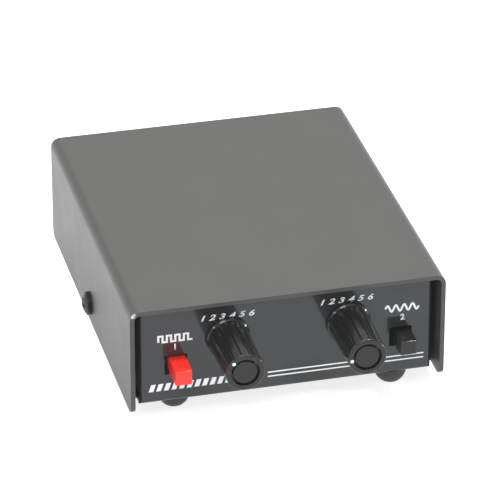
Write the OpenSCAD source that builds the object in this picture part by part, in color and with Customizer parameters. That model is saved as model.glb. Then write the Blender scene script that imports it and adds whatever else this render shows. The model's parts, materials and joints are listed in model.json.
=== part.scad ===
// Tuning pulser for an amateur-radio station: a small sheet-metal case with two knobs
// and two push buttons on its front panel, and three jacks on its rear panel.
// Origin: on the surface that the feet stand on, below the middle of the whole object.
// +X is to the right as the front panel is read, +Y is to the rear, +Z is up. Millimetres.

/* [Case] */
// Width of the top cover over its side walls
cover_w = 108.5; // [96:0.5:150]
// Depth of the top cover from front edge to rear edge
cover_d = 129.5; // [124:0.5:180]
// Height of the top cover's side walls
cover_h = 39; // [37:0.5:60]
// Thickness of the cover's sheet
cover_t = 1.6; // [1:0.1:2]
// Outside radius of the cover's two bends
cover_bend_r = 3.4; // [2.2:0.1:4]
// Radius of the lower corners of the cover's side walls
cover_corner_r = 3; // [1:0.5:6]
// How far the cover's lower edges hang below the chassis
cover_drop = 1.35; // [0:0.05:3]
// Distance of each panel behind the cover's edge
panel_inset = 3.4; // [1:0.1:8]
// Gap between each side of a panel and the cover's side wall
side_gap = 2; // [1:0.1:4]
// Gap between a panel's top edge and the cover
top_gap = 0.4; // [0.2:0.1:1]
// Thickness of the chassis's sheet
chassis_t = 1.2; // [1:0.1:2]
// Outside radius of the chassis's bends
chassis_bend_r = 1.6; // [1.4:0.1:3]
// Depth of the stiffening returns behind the panel's side edges
return_d = 8; // [4:0.5:14]
// Height of the chassis's side flanges
flange_h = 14; // [11:0.5:18]
// Length of the chassis's side flanges
flange_len = 76; // [20:1:100]
// Gap between a side flange and the cover's side wall
flange_gap = 0.25; // [0.1:0.05:0.6]
// Size of the relief notches at the chassis's corners
relief = 5; // [3:0.5:8]

/* [Cover screws] */
// Height of the cover screws above the cover's lower edge
cover_screw_z = 7.3; // [7:0.1:11]
// Head radius of a cover screw
cover_head_r = 4.1; // [3:0.1:4.5]
// Head height of a cover screw
cover_head_h = 2.8; // [1.5:0.1:3]
// Shank radius of a cover screw
cover_shank_r = 2; // [1.2:0.05:2.2]
// Shank length of a cover screw
cover_shank_len = 6; // [4:0.5:8]

/* [Feet] */
// Height of a foot
foot_h = 5.6; // [5:0.1:8]
// Radius of a foot's dome
foot_r = 5.6; // [4:0.1:8]
// Height of a foot's straight rim at the chassis
foot_rim = 1; // [0.4:0.1:2]
// Front left foot: distance from the panel's left edge and from the front panel
foot_front_left_at = [13.7, 8.7]; // [6:0.1:24]
// Front right foot: distance from the panel's right edge and from the front panel
foot_front_right_at = [12.5, 6.4]; // [6:0.1:24]
// Rear feet: distance from the panel's side edges and from the rear panel
foot_rear_at = [12.4, 8.2]; // [6:0.1:24]

/* [Circuit board] */
// Thickness of the circuit board
board_t = 1.6; // [1:0.1:2]
// Depth of the circuit board
board_d = 64; // [58:1:66]
// Gap between the circuit board and the inside of the front panel
board_front_gap = 1.5; // [1:0.1:4]
// Gap between the circuit board's sides and the panel's side edges
board_side_gap = 3.5; // [3:0.1:5]
// Height of the spacers under the circuit board
standoff_h = 6.9; // [6:0.1:9]
// Width of a hexagonal spacer across its flats
standoff_af = 5.5; // [5:0.1:7]
// Distance of the mounting holes from the board's sides and rear edge
board_hole_inset = 4; // [3.5:0.1:5]
// Distance of the front mounting holes from the board's front edge
board_hole_front = 26; // [24:0.5:30]

/* [Machine screws] */
// Shank radius of a board screw
screw_r = 1.45; // [1.2:0.05:1.6]
// Shank length of a board screw
screw_len = 4; // [3.5:0.1:4.4]
// Head radius of a board screw
screw_head_r = 2.8; // [2.4:0.1:3.2]
// Head height of a board screw
screw_head_h = 1.9; // [1.4:0.1:2.4]
// Radial gap around a screw in a clearance hole
screw_gap = 0.15; // [0.05:0.05:0.3]

/* [Knobs] */
// Distance of the rate knob's axis from the panel's left edge
rate_edge = 30.4; // [26:0.1:36]
// Distance of the duty knob's axis from the panel's right edge
duty_edge = 29.4; // [25:0.1:36]
// Turn of the rate knob's mark from the top, clockwise as seen from the front
rate_turn = -46; // [-150:1:150]
// Turn of the duty knob's mark from the top, clockwise as seen from the front
duty_turn = -100; // [-150:1:150]
// Height of the knobs' axes above the circuit board
pot_axis_h = 12.6; // [12:0.1:14]
// Distance of a knob's front face from the panel
knob_reach = 24.4; // [20:0.1:30]
// Gap between a knob and the panel
knob_gap = 0.7; // [0.4:0.1:1.5]
// How far the knob's skirt stands out around the knob
knob_skirt_rim = 0.55; // [0.3:0.05:1.5]
// Length of the knob's skirt
knob_skirt_len = 1.1; // [0.6:0.1:3]
// Thinnest wall of the knob, between its flutes and the recess for the nut
knob_wall = 0.55; // [0.4:0.05:1.2]
// How much smaller the knob's radius is at its front than at its skirt
knob_taper = 0.3; // [0:0.05:0.8]
// Number of flutes around a knob
flute_count = 15; // [8:1:24]
// Depth of a flute
flute_depth = 0.35; // [0.1:0.05:0.4]
// Radius of a flute's bottom
flute_r = 0.45; // [0.3:0.05:0.8]
// Length of the smooth rim in front of the flutes
knob_rim_len = 1.2; // [0.6:0.1:3]
// Radius of the recess in the knob's front face
knob_groove_r = 4.85; // [4:0.05:5.2]
// Depth of the recess in the knob's front face
knob_groove_depth = 1.2; // [0.8:0.1:2]
// Radius of the raised face of the knob's cap
cap_face_r = 4.1; // [3:0.05:4.4]
// How far the cap's face is behind the knob's front face
cap_sink = 0.3; // [0:0.05:0.5]
// Thickness of the flange of the knob's cap
cap_flange_t = 0.4; // [0.3:0.1:0.6]

/* [Potentiometers] */
// Radius of a potentiometer's shaft
shaft_r = 3; // [2:0.05:3.6]
// Running clearance of the shaft in its bushing
shaft_gap = 0.05; // [0.02:0.01:0.1]
// Distance that the shaft reaches out of the panel
shaft_reach = 17.5; // [12:0.5:19]
// Depth of the flat on the shaft
shaft_flat = 1; // [0.5:0.1:1.5]
// Radius of a potentiometer's case
pot_r = 8.4; // [8:0.1:9]
// Depth of a potentiometer's case behind its front plate
pot_case_d = 7.5; // [7:0.1:12]
// Thickness of a potentiometer's front plate
pot_plate_t = 1.4; // [1:0.1:2]
// Wall of a potentiometer's case
pot_wall = 0.5; // [0.3:0.1:0.8]
// Wall of the threaded bushing
bushing_wall = 0.45; // [0.4:0.05:0.8]
// Distance that the bushing reaches out of the panel
bushing_reach = 5; // [4:0.1:6]
// Width of the bushing's nut across its flats
pot_nut_af = 10; // [8:0.5:10]
// Thickness of the bushing's nut
pot_nut_t = 2; // [1.5:0.1:2.4]
// Thickness of the washer under the nut
pot_washer_t = 0.5; // [0.3:0.1:0.8]
// Gap between a panel hole and what passes through it
hole_gap = 0.15; // [0.1:0.05:0.4]

/* [Push buttons] */
// Distance of the pulse button's axis from the panel's left edge
pulse_edge = 13.1; // [11:0.1:15]
// Distance of the carrier button's axis from the panel's right edge
carrier_edge = 10.5; // [10:0.1:15]
// Height of the buttons' axes above the circuit board
button_axis_h = 4.5; // [4.2:0.1:6]
// Width of a button cap
button_w = 5.8; // [4.6:0.1:6.4]
// Height of a button cap
button_h = 5.4; // [4.6:0.1:6]
// Distance of the pulse button's front face from the panel at rest
pulse_reach = 9.9; // [7:0.1:12]
// Distance of the carrier button's front face from the panel at rest
carrier_reach = 8.8; // [7:0.1:12]
// Length of a button cap
button_len = 12.5; // [11:0.1:13]
// Size of the bevel around a button's front face
button_bevel = 0.9; // [0.3:0.1:1.5]
// Travel of a button
button_travel = 3; // [1:0.1:3.4]
// Gap between a button and each side of its window in the panel
window_side_gap = 1; // [0.8:0.1:2]
// Gap above and below a button in its window
window_top_gap = 0.9; // [0.4:0.1:1.4]
// How far the middle of each window is to the left of its button's axis
window_shift = 0.5; // [0:0.1:0.6]
// Width of the plunger
plunger_w = 3; // [2.4:0.1:3.4]
// Height of the plunger
plunger_h = 2.6; // [2:0.1:3]
// Sliding clearance around the plunger
plunger_gap = 0.1; // [0.05:0.05:0.2]
// Width of a switch housing
switch_w = 8.5; // [8:0.1:10]
// Length of a switch housing
switch_len = 14; // [13.5:0.5:18]
// Wall of a switch housing
switch_wall = 0.8; // [0.6:0.1:1]
// Distance of a switch housing behind the panel's inner face
switch_setback = 6; // [5.6:0.1:8]
// Wire radius of a switch spring
spring_wire_r = 0.2; // [0.15:0.01:0.25]
// Mean radius of a switch spring
spring_r = 1.8; // [1.6:0.1:2.2]
// Turns of a switch spring
spring_turns = 6; // [4:1:8]

/* [Rear jacks] */
// Height of the jacks' axes above the chassis floor
jack_h = 19; // [15:0.5:24]
// Distance of the phono jack's axis from the panel's left edge
phono_edge = 20; // [14:0.5:30]
// Distance of the power jack's axis from the panel's right edge
power_edge = 20; // [14:0.5:30]
// Outside radius of the phono jack's shell
phono_shell_r = 4.15; // [4.1:0.05:4.2]
// Distance that the phono jack reaches out of the rear panel
phono_reach = 9.5; // [8:0.1:12]
// Radius of the phono jack's centre socket
phono_socket_r = 1.6; // [1.55:0.05:1.65]
// Radius of the phone jack's socket
phone_socket_r = 1.8; // [1.75:0.05:1.85]
// Depth of the phone jack's socket
phone_socket_depth = 14; // [13:0.5:16]
// Distance that the phone and power jacks' noses reach out of the rear panel
nose_reach = 4; // [3.5:0.1:6]
// Radius of the power jack's centre pin
power_pin_r = 1.05; // [1:0.05:1.3]
// Radius of the power jack's socket
power_socket_r = 2.8; // [2.6:0.05:3]
// Depth of the power jack's socket
power_socket_depth = 9.5; // [8:0.5:12]

/* [Battery] */
// Length of the battery's block without its terminals
battery_len = 45.5; // [44:0.5:48]
// Width of the battery's block
battery_w = 26.5; // [25:0.5:27]
// Height of the battery's block, as it lies
battery_h = 17.5; // [16:0.5:18]
// Gap between the circuit board and the battery
battery_gap = 5; // [4:0.5:10]
// Thickness of the battery bracket's spring steel
bracket_t = 0.8; // [0.5:0.1:1]
// Width of the battery bracket
bracket_w = 20; // [14:1:30]
// Height of the battery bracket's arms
bracket_h = 12; // [8:0.5:15]

/* [Hidden] */
$fn = 64;
// Overlap that makes a cut pass clean through a face
eps = 0.01;

// The case, with the panels' outer faces at front_y and rear_y
panel_half = cover_d / 2 - panel_inset;
case_y = (knob_reach - phono_reach) / 2;
front_y = case_y - panel_half;
rear_y = case_y + panel_half;
front_in = front_y + chassis_t;
rear_in = rear_y - chassis_t;
panel_w = cover_w - 2 * (cover_t + side_gap);
plate_w = cover_w - 2 * (cover_t + flange_gap);
cover_bottom = foot_h - cover_drop;
cover_top = cover_bottom + cover_h;
floor_z = foot_h + chassis_t;
panel_top = cover_top - cover_t - top_gap;
cover_screw_height = cover_bottom + cover_screw_z;

// A pan head's dome and cross recess, as shares of the head's radius or height
head_dome = 0.8;
recess_width = 0.28;
recess_length = 1.1;
recess_floor = 0.45;

// The circuit board and what stands on it
board_w = panel_w - 2 * board_side_gap;
board_z = floor_z + standoff_h;
board_top = board_z + board_t;
board_front = front_in + board_front_gap;
board_rear = board_front + board_d;
board_hole_x = board_w / 2 - board_hole_inset;
board_hole_y = [board_front + board_hole_front, board_rear - board_hole_inset];
pot_z = board_top + pot_axis_h;
button_z = board_top + button_axis_h;
rate_x = -panel_w / 2 + rate_edge;
duty_x = panel_w / 2 - duty_edge;
pulse_x = -panel_w / 2 + pulse_edge;
carrier_x = panel_w / 2 - carrier_edge;
// Places on the board are [x, distance behind the board's front edge]
chip_at = [0, 36];
chip_size = [9.6, 6.4, 3.2];
chip_dot_r = 0.9;
chip_dot_depth = 0.5;
chip_socket_w = 10.2;
chip_socket_h = 4.4;
chip_socket_rail = 1.5;
chip_socket_slot = 3.6;
chip_socket_floor = 1;
// [x, distance behind the board's front edge, radius, height] of each can
cans = [[-14, 40, 3.2, 11], [16, 44, 4, 12.5], [30, 46, 2.5, 7]];
// The crimp around a can, as shares of its height and radius
crimp_z = [0.1, 0.14, 0.18];
crimp_r = 0.92;
disc_at = [[-6, 50], [8, 52], [-26, 40]];
disc_r = 2.6;
disc_t = 2.2;
disc_lift = 1.5;
disc_leg_pitch = 2.5;
thin_leg_r = 0.25;
resistor_at = [[-34, 30], [-34, 36], [-22, 50], [24, 34], [36, 30], [36, 36]];
resistor_len = 6.4;
resistor_r = 1.15;
resistor_leg_at = 4.7;
resistor_leg_r = 0.3;
transistor_at = [-18, 58];
transistor_lift = 3;
transistor_h = 4.6;
transistor_r = 2.4;
transistor_flat = 1.3;
transistor_leg_pitch = 1.27;

// Depths are measured out of the front panel's outer face, so what is inside is negative
pot_plate_back = -chassis_t - pot_plate_t;
pot_case_back = pot_plate_back - pot_case_d;
element_t = 1.2;
element_gap = 0.1;
leg_w = 1;
leg_pitch = 5;
leg_slot = 2 * leg_pitch + 3 * leg_w;
bushing_r = shaft_r + shaft_gap + bushing_wall;
rotor_r = 6.4;
rotor_t = 1.6;
rotor_gap = 0.6;
wiper_x = 1.5;
wiper_y = 3.6;
wiper_gap = 0.3;
nut_gap = 0.1;
washer_rim = 0.5;
nut_recess_gap = 0.3;
nut_recess_r = pot_nut_af / 2 / cos(30) + nut_recess_gap;
nut_recess_depth = bushing_reach - knob_gap + nut_recess_gap;
knob_base_r = nut_recess_r + knob_wall + flute_depth;
knob_skirt_r = knob_base_r + knob_skirt_rim;
knob_front_r = knob_base_r - knob_taper;
knob_edge_r = 0.4;
skirt_slope = 0.35;
switch_front = -chassis_t - switch_setback;
switch_back = switch_front - switch_len;
switch_h = 2 * button_axis_h;
switch_base_t = 1.2;
window_w = button_w + 2 * window_side_gap;
window_h = button_h + 2 * window_top_gap;
plunger_side_gap = 0.45;
plunger_floor_gap = 0.6;
plunger_flange_w = switch_w - 2 * (switch_wall + plunger_side_gap);
plunger_flange_h = 2 * (button_axis_h - switch_base_t - plunger_floor_gap);
plunger_flange_t = 1.2;
plunger_stop_gap = 0.1;
plunger_pin_r = 1.1;
plunger_pin_len = 4;
plunger_socket = 5;
pulse_back = pulse_reach - button_len;
carrier_back = carrier_reach - button_len;
plunger_flange_front = switch_front - switch_wall - plunger_stop_gap;
plunger_flange_back = plunger_flange_front - plunger_flange_t;
spring_back = switch_back + switch_wall + spring_wire_r;
spring_front = plunger_flange_back - spring_wire_r;

// The jacks
jack_z = floor_z + jack_h;
phono_x = -panel_w / 2 + phono_edge;
power_x = panel_w / 2 - power_edge;
phono_flange_r = 5.5;
phono_flange_t = 1.2;
phono_stem_r = 3.1;
phono_stem_len = 7;
phono_wall = 0.5;
phono_floor = 1.5;
phono_disc_t = 1.5;
phono_contact_wall = 0.4;
phono_contact_back = 5;
phono_contact_recess = 1;
phono_nut_t = 1.8;
phone_nose_r = 3;
phone_body = [9, 9.5, 14];
phone_nut_r = 4.3;
phone_nut_slot_w = 1;
phone_nut_slot_depth = 0.6;
jack_nut_t = 2;
power_nose_r = 3.9;
power_body_r = 5.2;
power_body_len = 11;
power_pin_recess = 0.8;
power_stem_r = 0.8;
power_nut_r = 5.6;
lug_w = 1.6;
lug_t = 0.4;
lug_len = 4;
lug_pitch = 3;

// The battery and its leads
battery_y = board_rear + battery_gap + battery_w / 2;
battery_x = -4;
battery_z = floor_z + bracket_t;
terminal_pitch = 12.7;
terminal_r = 2.9;
terminal_h = 3;
snap_t = 4.6;
snap_gap = 0.15;
snap_inset = [1, 0.5];
bracket_screw_pitch = 14;
bracket_screw_len = chassis_t + bracket_t;
wire_r = 0.65;
wire_straight = 1.5;
// A direction that no wire's route runs along
wire_across = [0.9, 0.3, -0.3];
wire_pad_y = board_rear - 8;
// How high each pair of wires passes over the battery
phono_wire_lift = 5;
jack_wire_lift = 4;
// How far each wire's pad is from its jack's axis, in X
phono_pad_offset = 4;
phone_pad_offset = 5;
power_pad_offset = 1.5;
phono_lug_spread = 0.88;
lead_spread = 4;
lead_pad_gap = 4;
lead_pad_spread = 1.2;
lead_arch = [1, -10, 4];

// Rings along one turn of a spring, and steps between two points of a wire's route
spring_rings = 16;
smooth_steps = 5;

module u_profile(w, h, t, r) {
    // A sheet bent up at both sides: open at the top, with its outer bottom at 0
    difference() {
        bend_outline(w, h, r);
        translate([0, t])
            bend_outline(w - 2 * t, h, r - t);
    }
}

module bend_outline(w, h, r) {
    translate([-w / 2, r])
        square([w, h - r]);
    translate([-w / 2 + r, 0])
        square([w - 2 * r, h]);
    for (side = [-1, 1])
        translate([side * (w / 2 - r), r])
            circle(r);
}

module corner_cut(r) {
    // What a corner at the origin loses when it is rounded to a radius of r
    difference() {
        translate([-1, -1])
            square([r + 1, r + 1]);
        translate([r, r])
            circle(r);
    }
}

module along_x() {
    // Turns a drawing of [Y, Z] into the plane that X is square to
    rotate([90, 0, 90])
        children();
}

module on_front(x, z) {
    // X to the right, Y up and Z out of the front panel's outer face
    translate([x, front_y, z])
        rotate([90, 0, 0])
            children();
}

module on_rear(x) {
    // X to the right, Y down and Z out of the rear panel's outer face
    translate([x, rear_y, jack_z])
        rotate([-90, 0, 0])
            children();
}

module rod(z_from, z_to, r) {
    translate([0, 0, z_from])
        cylinder(r = r, h = z_to - z_from);
}

module block(w, h, z_from, z_to) {
    translate([-w / 2, -h / 2, z_from])
        cube([w, h, z_to - z_from]);
}

module pan_screw(head_r, head_h, shank_r, shank_len) {
    // Head upwards from 0, shank downwards; a cross recess in a domed head
    dome_r = (head_r * head_r + head_h * head_h) / head_h * head_dome;
    recess_w = head_r * recess_width;
    recess_len = head_r * recess_length;
    recess_z = head_h * recess_floor;
    difference() {
        union() {
            intersection() {
                rod(0, head_h, head_r);
                translate([0, 0, head_h - dome_r])
                    sphere(dome_r);
            }
            rod(-shank_len, eps, shank_r);
        }
        block(recess_w, recess_len, recess_z, head_h + 1);
        block(recess_len, recess_w, recess_z, head_h + 1);
    }
}

function unit(v) = v / norm(v);

function heading(path, i) = unit(path[min(i + 1, len(path) - 1)] - path[max(i - 1, 0)]);

// From b to c, leaving b along a to c and reaching c along b to d
function spline(a, b, c, d, t) =
    let (leave = norm(c - b) * unit(c - a), reach = norm(c - b) * unit(d - b))
    b + (3 * (c - b) - 2 * leave - reach) * t * t + leave * t
        + (2 * (b - c) + leave + reach) * t * t * t;

function smoothed(p) = [
    for (i = [0:len(p) - 2], s = [0:smooth_steps - 1])
        spline(p[max(i - 1, 0)], p[i], p[i + 1], p[min(i + 2, len(p) - 1)], s / smooth_steps),
    p[len(p) - 1]
];

module wire(path, r, across, sides = 8) {
    // A round wire along path; across is a direction that the path never runs along
    rings = [for (i = [0:len(path) - 1])
        let (ahead = heading(path, i), u = unit(cross(ahead, across)), v = cross(ahead, u))
            [for (k = [0:sides - 1])
                path[i] + r * (cos(360 * k / sides) * u + sin(360 * k / sides) * v)]];
    last = (len(path) - 1) * sides;
    walls = [for (i = [0:len(path) - 2], k = [0:sides - 1])
        let (a = i * sides + k, b = i * sides + (k + 1) % sides)
            [a, a + sides, b + sides, b]];
    near_end = [for (k = [0:sides - 1]) k];
    far_end = [for (k = [sides - 1:-1:0]) last + k];
    polyhedron([for (ring = rings) each ring], concat([near_end], walls, [far_end]));
}

// ---- Case ----

module top_cover() {
    color("#777777")
        difference() {
            translate([0, case_y + cover_d / 2, cover_top])
                rotate([90, 180, 0])
                    linear_extrude(cover_d)
                        u_profile(cover_w, cover_h, cover_t, cover_bend_r);
            for (end = [-1, 1])
                translate([-cover_w, case_y + end * cover_d / 2, cover_bottom])
                    along_x()
                        linear_extrude(2 * cover_w)
                            mirror([(1 + end) / 2, 0])
                                corner_cut(cover_corner_r);
            translate([-cover_w, case_y, cover_screw_height])
                rotate([0, 90, 0])
                    rod(0, 2 * cover_w, cover_shank_r + screw_gap);
        }
}

module cover_screws() {
    color("#26282a")
        for (side = [-1, 1])
            translate([side * cover_w / 2, case_y, cover_screw_height])
                rotate([0, side * 90, 0])
                    pan_screw(cover_head_r, cover_head_h, cover_shank_r, cover_shank_len);
}

module panel_returns() {
    // The front panel's stiffened sides, drawn from above
    translate([0, 0, foot_h + relief])
        linear_extrude(panel_top - foot_h - relief)
            u_profile(panel_w, return_d, chassis_t, chassis_bend_r);
}

module panel_edge_cuts() {
    for (side = [-1, 1])
        translate([side * panel_w / 2, 0, 0])
            linear_extrude(cover_top)
                mirror([(1 + side) / 2, 0])
                    corner_cut(chassis_bend_r);
}

module chassis_sheet() {
    difference() {
        union() {
            translate([-panel_w / 2, case_y, foot_h])
                along_x()
                    linear_extrude(panel_w)
                        u_profile(2 * panel_half, panel_top - foot_h, chassis_t, chassis_bend_r);
            translate([-plate_w / 2, front_y + relief, foot_h])
                cube([plate_w, 2 * panel_half - 2 * relief, chassis_t]);
            translate([0, case_y + flange_len / 2, foot_h])
                rotate([90, 0, 0])
                    linear_extrude(flange_len)
                        u_profile(plate_w, flange_h, chassis_t, chassis_bend_r);
            translate([0, front_y, 0])
                panel_returns();
            translate([0, rear_y, 0])
                mirror([0, 1, 0])
                    panel_returns();
        }
        // The plate's edges beside the flanges' bends are as round as the bends
        for (end = [-1, 1], side = [-1, 1])
            translate([side * plate_w / 2, case_y, foot_h])
                rotate([90, 0, 0])
                    linear_extrude(flange_len, center = true)
                        mirror([(1 + side) / 2, 0])
                            corner_cut(chassis_bend_r);
        translate([0, front_y, 0])
            panel_edge_cuts();
        translate([0, rear_y, 0])
            mirror([0, 1, 0])
                panel_edge_cuts();
    }
}

module chassis() {
    color("#2c2d2e")
        difference() {
            chassis_sheet();
            for (x = [rate_x, duty_x])
                on_front(x, pot_z)
                    rod(-chassis_t - 1, 1, bushing_r + hole_gap);
            for (x = [pulse_x, carrier_x])
                on_front(x - window_shift, button_z)
                    block(window_w, window_h, -chassis_t - 1, 1);
            on_rear(phono_x)
                rod(-chassis_t - 1, 1, phono_stem_r + hole_gap);
            on_rear(0)
                rod(-chassis_t - 1, 1, phone_nose_r + hole_gap);
            on_rear(power_x)
                rod(-chassis_t - 1, 1, power_nose_r + hole_gap);
            for (x = [-board_hole_x, board_hole_x], y = board_hole_y)
                translate([x, y, 0])
                    rod(0, floor_z + 1, screw_r + screw_gap);
            for (side = [-1, 1])
                translate([battery_x, battery_y + side * bracket_screw_pitch / 2, 0])
                    rod(0, floor_z + 1, screw_r + screw_gap);
            translate([-cover_w, case_y, cover_screw_height])
                rotate([0, 90, 0])
                    rod(0, 2 * cover_w, cover_shank_r);
        }
}

module foot(x, y) {
    color("#303132")
        translate([x, y, 0])
            intersection() {
                rod(0, foot_h, foot_r);
                union() {
                    translate([0, 0, foot_h - foot_rim])
                        sphere(foot_r);
                    rod(foot_h - foot_rim, foot_h, foot_r);
                }
            }
}

module foot_front_left() {
    foot(foot_front_left_at[0] - panel_w / 2, front_y + foot_front_left_at[1]);
}

module foot_front_right() {
    foot(panel_w / 2 - foot_front_right_at[0], front_y + foot_front_right_at[1]);
}

module foot_rear_left() {
    foot(foot_rear_at[0] - panel_w / 2, rear_y - foot_rear_at[1]);
}

module foot_rear_right() {
    foot(panel_w / 2 - foot_rear_at[0], rear_y - foot_rear_at[1]);
}

// ---- Circuit board ----

module circuit_board() {
    color("#2f6b3c")
        difference() {
            translate([-board_w / 2, board_front, board_z])
                cube([board_w, board_d, board_t]);
            for (x = [-board_hole_x, board_hole_x], y = board_hole_y)
                translate([x, y, 0])
                    rod(board_z - 1, board_top + 1, screw_r + screw_gap);
        }
}

module board_standoffs() {
    color("#c9a24b")
        for (x = [-board_hole_x, board_hole_x], y = board_hole_y)
            translate([x, y, floor_z])
                difference() {
                    cylinder(r = standoff_af / 2 / cos(30), h = standoff_h, $fn = 6);
                    rod(-1, standoff_h + 1, screw_r);
                }
}

module board_screws() {
    color("#b9bcc0")
        for (x = [-board_hole_x, board_hole_x], y = board_hole_y) {
            translate([x, y, board_top])
                pan_screw(screw_head_r, screw_head_h, screw_r, screw_len);
            translate([x, y, foot_h])
                mirror([0, 0, 1])
                    pan_screw(screw_head_r, screw_head_h, screw_r, screw_len);
        }
}

// ---- Potentiometers and knobs ----

module pot_bushing(x) {
    color("#a9acb0")
        on_front(x, pot_z)
            difference() {
                union() {
                    rod(pot_plate_back, -chassis_t, pot_r);
                    rod(-chassis_t - eps, bushing_reach, bushing_r);
                }
                rod(pot_plate_back - 1, bushing_reach + 1, shaft_r + shaft_gap);
            }
}

module pot_case(x) {
    color("#b5b8bb")
        on_front(x, pot_z)
            difference() {
                rod(pot_case_back, pot_plate_back, pot_r);
                rod(pot_case_back + pot_wall, pot_plate_back + 1, pot_r - pot_wall);
                translate([-leg_slot / 2, -pot_r - 1, pot_case_back + pot_wall])
                    cube([leg_slot, pot_r, element_t + element_gap]);
            }
}

module pot_element(x) {
    wafer_back = pot_case_back + pot_wall;
    color("#8a5a2b")
        on_front(x, pot_z)
            union() {
                rod(wafer_back, wafer_back + element_t, pot_r - pot_wall - element_gap);
                for (k = [-1:1])
                    translate([k * leg_pitch - leg_w / 2, -pot_axis_h, wafer_back])
                        cube([leg_w, pot_axis_h - pot_r / 2, element_t / 2]);
            }
}

module pot_washer(x) {
    color("#c4c7ca")
        on_front(x, pot_z)
            difference() {
                rod(0, pot_washer_t, pot_nut_af / 2 + washer_rim);
                rod(-1, pot_washer_t + 1, bushing_r + nut_gap);
            }
}

module pot_nut(x) {
    color("#c4c7ca")
        on_front(x, pot_z)
            translate([0, 0, pot_washer_t])
                difference() {
                    cylinder(r = pot_nut_af / 2 / cos(30), h = pot_nut_t, $fn = 6);
                    rod(-1, pot_nut_t + 1, bushing_r + nut_gap);
                }
}

module shaft_section(gap) {
    // A round shaft with a flat on the side of the knob's mark
    difference() {
        circle(shaft_r + gap);
        translate([-shaft_r - 1, shaft_r - shaft_flat + gap])
            square([2 * shaft_r + 2, shaft_r]);
    }
}

module shaft(x, turn) {
    rotor_front = pot_plate_back - rotor_gap;
    rotor_back = rotor_front - rotor_t;
    wafer_front = pot_case_back + pot_wall + element_t;
    color("#d0d2d4")
        on_front(x, pot_z)
            rotate([0, 0, -turn]) {
                rod(rotor_back, rotor_front, rotor_r);
                rod(rotor_front - eps, bushing_reach, shaft_r);
                translate([0, 0, bushing_reach - eps])
                    linear_extrude(shaft_reach - bushing_reach + eps)
                        shaft_section(0);
                // The wiper's two fingers reach from the rotor towards the resistive track
                for (side = [-1, 1])
                    translate([side * wiper_x - leg_w / 2, wiper_y, wafer_front + wiper_gap])
                        cube([leg_w, leg_w, rotor_back - wafer_front - wiper_gap + eps]);
            }
}

module knob_outline() {
    // Half of the knob's section: [radius, distance out of the panel]
    skirt_top = knob_gap + knob_skirt_len;
    polygon([
        [0, knob_gap],
        [knob_skirt_r, knob_gap],
        [knob_skirt_r, skirt_top - skirt_slope],
        [knob_base_r, skirt_top],
        [knob_front_r, knob_reach - knob_edge_r],
        [knob_front_r - knob_edge_r, knob_reach],
        [0, knob_reach]
    ]);
}

module knob(x, turn) {
    flute_from = knob_gap + knob_skirt_len;
    flute_to = knob_reach - knob_rim_len;
    lean = atan((knob_base_r - knob_front_r) / (knob_reach - flute_from));
    color("#333435")
        on_front(x, pot_z)
            rotate([0, 0, -turn])
                difference() {
                    rotate_extrude()
                        knob_outline();
                    for (k = [0:flute_count - 1])
                        rotate([0, 0, 360 * (k + 0.5) / flute_count])
                            translate([0, knob_base_r + flute_r - flute_depth, flute_from])
                                rotate([lean, 0, 0])
                                    rod(0, flute_to - flute_from, flute_r);
                    rod(knob_gap - 1, knob_gap + nut_recess_depth, nut_recess_r);
                    linear_extrude(shaft_reach)
                        shaft_section(shaft_gap);
                    rod(knob_reach - knob_groove_depth, knob_reach + 1, knob_groove_r);
                }
}

module knob_cap(x, turn) {
    seat = knob_reach - knob_groove_depth;
    color("#2e2f30")
        on_front(x, pot_z)
            rotate([0, 0, -turn]) {
                rod(seat, seat + cap_flange_t, knob_groove_r);
                rod(seat + cap_flange_t - eps, knob_reach - cap_sink, cap_face_r);
            }
}

// ---- Push buttons ----

module switch_housing(x) {
    color("#3a3a3c")
        on_front(x, button_z)
            difference() {
                block(switch_w, switch_h, switch_back, switch_front);
                translate([0, -switch_wall, 0])
                    block(switch_w - 2 * switch_wall, switch_h, switch_back + switch_wall,
                        switch_front - switch_wall);
                block(plunger_w + 2 * plunger_gap, plunger_h + 2 * plunger_gap,
                    switch_front - switch_wall - 1, switch_front + 1);
            }
}

module switch_base(x) {
    // The contact base closes the housing from below, on the circuit board
    color("#d9c9a3")
        on_front(x, button_z)
            translate([0, -button_axis_h + switch_base_t / 2, 0])
                block(switch_w - 2 * switch_wall, switch_base_t, switch_back + switch_wall,
                    switch_front - switch_wall);
}

module spring(x) {
    steps = spring_turns * spring_rings;
    path = [for (i = [0:steps])
        [spring_r * cos(360 * i / spring_rings),
            spring_r * sin(360 * i / spring_rings),
            spring_back + (spring_front - spring_back) * i / steps]];
    color("#c4c7ca")
        on_front(x, button_z)
            wire(path, spring_wire_r, [0, 0, 1], 6);
}

module plunger(x, cap_back) {
    color("#e9e7df")
        on_front(x, button_z) {
            block(plunger_w, plunger_h, plunger_flange_front - eps, cap_back + plunger_socket);
            block(plunger_flange_w, plunger_flange_h, plunger_flange_back,
                plunger_flange_front);
            rod(plunger_flange_back - plunger_pin_len, plunger_flange_back + eps, plunger_pin_r);
        }
}

module button(x, reach, shade) {
    // A square cap on the plunger, bevelled around its front face
    cap_back = reach - button_len;
    color(shade)
        on_front(x, button_z)
            difference() {
                intersection() {
                    block(button_w, button_h, cap_back, reach);
                    rotate([0, 90, 0])
                        linear_extrude(button_w, center = true)
                            button_side(button_h, reach);
                    rotate([0, 90, 90])
                        linear_extrude(button_h, center = true)
                            button_side(button_w, reach);
                }
                block(plunger_w, plunger_h, cap_back - 1, cap_back + plunger_socket);
            }
}

module button_side(h, reach) {
    polygon([
        [button_len - reach, -h / 2],
        [button_bevel - reach, -h / 2],
        [-reach, -h / 2 + button_bevel / 2],
        [-reach, h / 2 - button_bevel / 2],
        [button_bevel - reach, h / 2],
        [button_len - reach, h / 2]
    ]);
}

// ---- Rear jacks ----

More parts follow.
